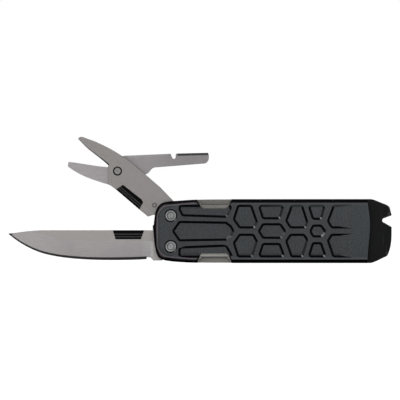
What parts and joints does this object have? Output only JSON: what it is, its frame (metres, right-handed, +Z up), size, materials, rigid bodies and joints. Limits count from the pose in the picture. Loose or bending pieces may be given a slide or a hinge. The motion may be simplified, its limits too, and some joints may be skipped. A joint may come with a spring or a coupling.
{
  "type": "folding multi tool",
  "caption": "Slim folding multi tool: locking drop-point knife and sprung scissors at one end, pry tip with a nail notch at the other, ribbed aluminium handle.",
  "frame": {"origin": "on the front scale's outer face, in the middle of the flat web behind the long centre pocket, half way up the handle", "axes": "+X along the handle from the tools towards the pry tip; +Y from the front face to the back face; +Z up across the handle, from the knife's side towards the scissors' side"},
  "size_m": [0.1611, 0.0108, 0.053],
  "materials": {
    "scale": "matte hard-coated aluminium",
    "liner": "brushed",
    "black_steel": "black coated steel",
    "steel": "turned",
    "fastener": "dark plated",
    "pivot": "turned",
    "bronze": "satin",
    "blade": "satin ground",
    "scissors": "satin",
    "lever": "satin",
    "spring": "polished",
    "grip": "matte"
  },
  "bodies": {
    "handle": {"front_scale": "scale", "back_scale": "scale", "front_liner": "liner", "back_liner": "liner", "pry_bar": "black_steel", "stop_pin": "steel", "scale_screws": "fastener", "frame_screws": "fastener", "blade_pivot_barrel": "pivot", "scissors_pivot_barrel": "pivot", "blade_pivot_screw": "pivot", "scissors_pivot_screw": "pivot", "blade_washer": "bronze", "scissors_washer": "bronze"},
    "knife": {"knife_blade": "blade", "blade_thumb_grip": "grip"},
    "scissors": {"scissors_frame": "scissors", "scissors_thumb_grip": "grip", "scissors_rivet": "pivot", "spring_rivet": "pivot"},
    "lever": {"scissors_lever": "lever"},
    "spring": {"scissors_spring": "spring"},
    "blade_lock": {"blade_lock_arm": "liner"},
    "scissors_lock": {"scissors_lock_arm": "liner"}
  },
  "joints": [
    {"name": "blade_fold", "type": "hinge", "parent": "handle", "child": "knife", "pos_m": [-0.0314, 0.0046, -0.00648], "axis": [0, 1, 0], "range_deg": [-180, 0]},
    {"name": "scissors_fold", "type": "hinge", "parent": "handle", "child": "scissors", "pos_m": [-0.0314, 0.0048, 0.00648], "axis": [0, -1, 0], "range_deg": [-140, 36.5]},
    {"name": "scissors_squeeze", "type": "hinge", "parent": "scissors", "child": "lever", "pos_m": [-0.0538, 0.0065, 0.02522], "axis": [0, -1, 0], "range_deg": [-42, 0]},
    {"name": "spring_flex", "type": "hinge", "parent": "scissors", "child": "spring", "pos_m": [-0.03826, 0.0063, 0.01092], "axis": [0, -1, 0], "range_deg": [0, 30.14]},
    {"name": "blade_lock", "type": "hinge", "parent": "handle", "child": "blade_lock", "pos_m": [0.0187, 0.0079, -0.0115], "axis": [0, 0, 1], "range_deg": [0, 3.6]},
    {"name": "scissors_lock", "type": "hinge", "parent": "handle", "child": "scissors_lock", "pos_m": [0.0187, 0.0079, 0.0115], "axis": [0, 0, 1], "range_deg": [0, 3.6]}
  ],
  "couplings": [
    {"joint": "spring_flex", "follows": "scissors_squeeze", "ratio": -0.71765}
  ]
}
